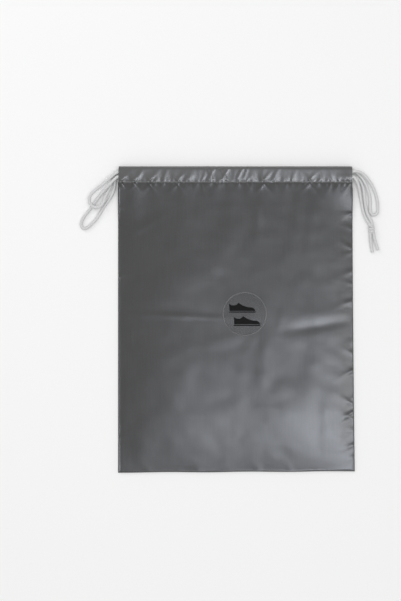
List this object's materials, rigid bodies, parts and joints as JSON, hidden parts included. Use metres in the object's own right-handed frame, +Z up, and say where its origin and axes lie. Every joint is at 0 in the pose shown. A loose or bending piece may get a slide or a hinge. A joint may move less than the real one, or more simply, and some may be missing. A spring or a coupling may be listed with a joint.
{
  "type": "shoe bag",
  "caption": "Flat drawstring shoe bag of grey satin cloth with a stitched casing round the mouth, two cords that pull from opposite sides, and a round printed badge.",
  "frame": {"origin": "middle of the bag's footprint, on the surface it lies on, at its underside", "axes": "+X across the bag to its right-hand side, +Y up the bag to its mouth, +Z up from the surface, out of the printed front"},
  "size_m": [0.3838, 0.392, 0.0105],
  "materials": {
    "satin": "satin",
    "thread": "matte",
    "cord": "matte",
    "film": "satin",
    "ink": "matte"
  },
  "bodies": {
    "bag": {"back_panel": "satin", "back_casing": "satin", "back_casing_stitches": "thread", "left_seam_allowance": "satin", "right_seam_allowance": "satin", "bottom_seam_allowance": "satin", "left_seam_stitches": "thread", "right_seam_stitches": "thread", "bottom_seam_stitches": "thread", "left_slit_bartack": "thread", "right_slit_bartack": "thread", "left_cord_back_run": "cord", "right_cord_back_run": "cord", "left_cord_pull_front_strand": "cord", "left_cord_pull_back_strand": "cord", "right_cord_slack_front_strand": "cord", "right_cord_slack_back_strand": "cord", "left_cord_slack_front_strand": "cord", "left_cord_slack_back_strand": "cord", "right_cord_front_lead": "cord", "right_cord_back_lead": "cord"},
    "front": {"front_panel": "satin", "front_casing": "satin", "front_casing_stitches": "thread", "badge_film": "film", "badge_print": "ink", "left_cord_front_run": "cord", "right_cord_front_run": "cord", "left_cord_hidden_knot": "cord"},
    "left_pull": {"left_cord_pull_bight": "cord"},
    "right_pull": {"right_cord_knot": "cord", "right_cord_inner_tail": "cord", "right_cord_outer_tail": "cord"},
    "left_slack": {"left_cord_slack_bight": "cord"},
    "right_slack": {"right_cord_slack_bight": "cord"}
  },
  "joints": [
    {"name": "mouth_opening", "type": "hinge", "parent": "bag", "child": "front", "pos_m": [0, -0.1956, 0.0008], "axis": [1, 0, 0], "range_deg": [0, 12]},
    {"name": "left_cord_pull", "type": "slide", "parent": "bag", "child": "left_pull", "axis": [-0.6198, -0.7848, 0], "range_m": [0, 0.035], "deforming": ["left_cord_pull_front_strand", "left_cord_pull_back_strand"]},
    {"name": "left_cord_slack", "type": "slide", "parent": "bag", "child": "left_slack", "axis": [-0.4299, 0.9029, 0], "range_m": [0, 0.035], "deforming": ["left_cord_slack_front_strand", "left_cord_slack_back_strand"]},
    {"name": "right_cord_pull", "type": "slide", "parent": "bag", "child": "right_pull", "axis": [0.33, -0.944, 0], "range_m": [0, 0.04], "deforming": ["right_cord_front_lead", "right_cord_back_lead"]},
    {"name": "right_cord_slack", "type": "slide", "parent": "bag", "child": "right_slack", "axis": [0.5, 0.866, 0], "range_m": [0, 0.04], "deforming": ["right_cord_slack_front_strand", "right_cord_slack_back_strand"]}
  ],
  "couplings": [
    {"joint": "left_cord_slack", "follows": "left_cord_pull", "ratio": 1},
    {"joint": "right_cord_slack", "follows": "right_cord_pull", "ratio": 1}
  ]
}
